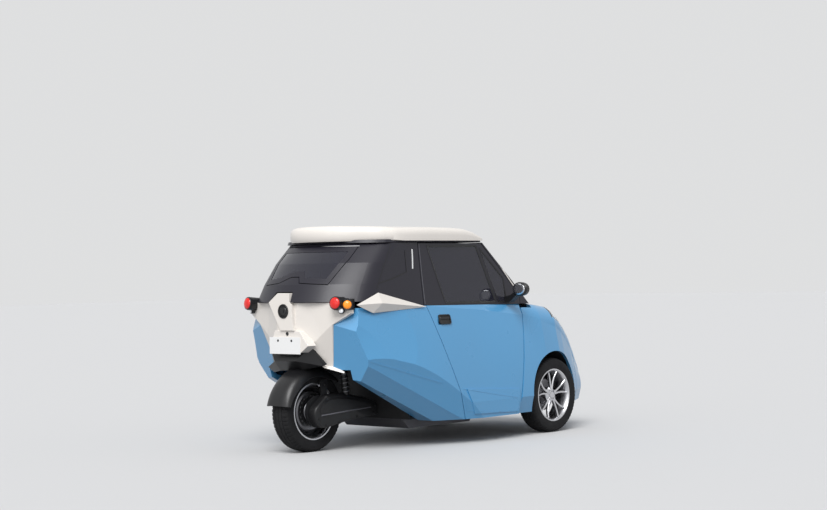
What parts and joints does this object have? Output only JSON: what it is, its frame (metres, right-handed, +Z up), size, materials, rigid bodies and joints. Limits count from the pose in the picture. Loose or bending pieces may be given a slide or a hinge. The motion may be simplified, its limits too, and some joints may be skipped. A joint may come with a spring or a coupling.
{
  "type": "three wheeled car",
  "caption": "Enclosed electric car with steered front wheels and one driven rear wheel under a faceted tail, with opening doors, bonnet and rear hatch.",
  "frame": {"origin": "on the ground under the middle of the car's length and width", "axes": "+X forward along the car, +Y to the car's left, +Z up"},
  "size_m": [2.907, 1.54, 1.5719],
  "materials": {
    "blue_paint": "gloss",
    "white_paint": "gloss",
    "dark_body": "gloss",
    "black_plastic": "satin",
    "window_glass": "clear tint",
    "lamp_lens": "gloss",
    "headlamp_lens": "clear",
    "plate_white": "satin",
    "alloy": "satin",
    "tyre": "matt",
    "dark_steel": "satin",
    "tub_steel": "matt",
    "battery_case": "satin",
    "seat_fabric": "woven"
  },
  "bodies": {
    "chassis": {"tail_panel": "white_paint", "roof_panel": "white_paint", "rear_pillars": "dark_body", "windscreen_frame": "white_paint", "windscreen": "window_glass", "nose_panel": "blue_paint", "cowl": "black_plastic", "headlamps": "headlamp_lens", "charge_port": "black_plastic", "number_plate": "plate_white", "tail_lamps": "lamp_lens", "shoulder_blades": "white_paint", "diffuser": "black_plastic", "floor_tub": "tub_steel", "battery_pack": "battery_case", "seat_left": "seat_fabric", "seat_right": "seat_fabric", "dashboard": "black_plastic", "front_suspension": "dark_steel", "rack_housing": "dark_steel", "arch_liners": "black_plastic", "motor": "dark_steel", "swing_arm": "dark_steel", "rear_damper": "dark_steel", "mudguard": "black_plastic", "quarter_right": "blue_paint", "quarter_left": "blue_paint", "fender_right": "blue_paint", "fender_left": "blue_paint"},
    "rack": {"steering_rack": "alloy"},
    "steering_wheel": {"steering_wheel": "black_plastic"},
    "bonnet": {"bonnet": "white_paint"},
    "hatch": {"hatch_frame": "dark_body", "hatch_glass": "window_glass"},
    "wheel_rear": {"tyre_rear": "tyre", "rim_rear": "alloy"},
    "knuckle_right": {"knuckle_right": "dark_steel"},
    "wheel_right": {"tyre_right": "tyre", "rim_right": "alloy"},
    "door_right": {"door_shell_right": "blue_paint", "door_frame_right": "dark_body", "door_glass_right": "window_glass", "door_handle_right": "black_plastic", "mirror_right": "black_plastic"},
    "knuckle_left": {"knuckle_left": "dark_steel"},
    "wheel_left": {"tyre_left": "tyre", "rim_left": "alloy"},
    "door_left": {"door_shell_left": "blue_paint", "door_frame_left": "dark_body", "door_glass_left": "window_glass", "door_handle_left": "black_plastic", "mirror_left": "black_plastic"}
  },
  "joints": [
    {"name": "steer_right", "type": "hinge", "parent": "chassis", "child": "knuckle_right", "pos_m": [0.8705, -0.495, 0.282], "axis": [0, 0, 1], "range_deg": [-30, 30]},
    {"name": "spin_right", "type": "hinge", "parent": "knuckle_right", "child": "wheel_right", "pos_m": [0.8705, -0.572, 0.282], "axis": [0, 1, 0], "continuous": true},
    {"name": "door_right_hinge", "type": "hinge", "parent": "chassis", "child": "door_right", "pos_m": [0.4485, -0.702, 0.5845], "axis": [0.1239, 0, 0.9923], "range_deg": [0, 62]},
    {"name": "steer_left", "type": "hinge", "parent": "chassis", "child": "knuckle_left", "pos_m": [0.8705, 0.495, 0.282], "axis": [0, 0, 1], "range_deg": [-30, 30]},
    {"name": "spin_left", "type": "hinge", "parent": "knuckle_left", "child": "wheel_left", "pos_m": [0.8705, 0.572, 0.282], "axis": [0, 1, 0], "continuous": true},
    {"name": "door_left_hinge", "type": "hinge", "parent": "chassis", "child": "door_left", "pos_m": [0.4485, 0.702, 0.5845], "axis": [-0.1239, 0, -0.9923], "range_deg": [0, 62]},
    {"name": "spin_rear", "type": "hinge", "parent": "chassis", "child": "wheel_rear", "pos_m": [-1.1415, 0, 0.282], "axis": [0, 1, 0], "continuous": true},
    {"name": "rack_slide", "type": "slide", "parent": "chassis", "child": "rack", "axis": [0, 1, 0], "range_m": [-0.07, 0.07]},
    {"name": "steering_wheel_turn", "type": "hinge", "parent": "chassis", "child": "steering_wheel", "pos_m": [0.2435, 0.25, 0.85], "axis": [-0.9135, 0, 0.4067], "range_deg": [-425, 425]},
    {"name": "bonnet_hinge", "type": "hinge", "parent": "chassis", "child": "bonnet", "pos_m": [0.8185, 0, 1.0137], "axis": [0, -1, 0], "range_deg": [0, 45]},
    {"name": "hatch_hinge", "type": "hinge", "parent": "chassis", "child": "hatch", "pos_m": [-1.0575, 0, 1.426], "axis": [0, 1, 0], "range_deg": [0, 50]}
  ],
  "couplings": [
    {"joint": "steer_left", "follows": "steer_right", "ratio": 1},
    {"joint": "steering_wheel_turn", "follows": "steer_right", "ratio": 14},
    {"joint": "rack_slide", "follows": "steer_right", "m_per_rad": 0.122}
  ]
}
